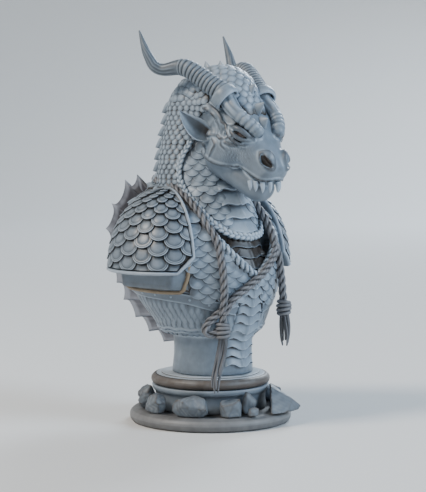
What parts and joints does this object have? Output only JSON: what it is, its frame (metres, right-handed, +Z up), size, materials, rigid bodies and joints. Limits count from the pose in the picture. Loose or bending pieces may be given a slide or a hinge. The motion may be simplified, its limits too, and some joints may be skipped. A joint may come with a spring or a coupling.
{
  "type": "armored dragon warrior bust",
  "caption": "Cast bust of a horned dragon in scale armour on a turned column and round plinth edged with rocks.",
  "frame": {"origin": "middle of the plinth's underside", "axes": "+Z up, the dragon faces -Y and its left side is at +X"},
  "size_m": [0.1222, 0.1528, 0.2323],
  "materials": {
    "skin_resin": "satin cast resin, cool pale grey with a thin warm wash in the recesses",
    "foot_resin": "matt cast resin, warm pale grey",
    "ring_resin": "matt cast resin, taupe",
    "rock_resin": "rough cast resin, blue grey",
    "rope_resin": "matt cast resin, taupe brown, in twisted strands"
  },
  "bodies": {
    "root": {"foot_disc": "foot_resin", "plinth_drum": "skin_resin", "plinth_ring": "ring_resin", "rock_01": "rock_resin", "rock_02": "rock_resin", "rock_03": "rock_resin", "rock_04": "rock_resin", "rock_05": "rock_resin", "rock_06": "rock_resin", "rock_07": "rock_resin", "rock_08": "rock_resin", "rock_09": "rock_resin", "rock_10": "rock_resin", "rock_11": "rock_resin", "rock_12": "rock_resin", "dragon_bust": "skin_resin", "shoulder_plate_right": "skin_resin", "shoulder_plate_left": "skin_resin", "neck_rope": "rope_resin"}
  },
  "joints": []
}
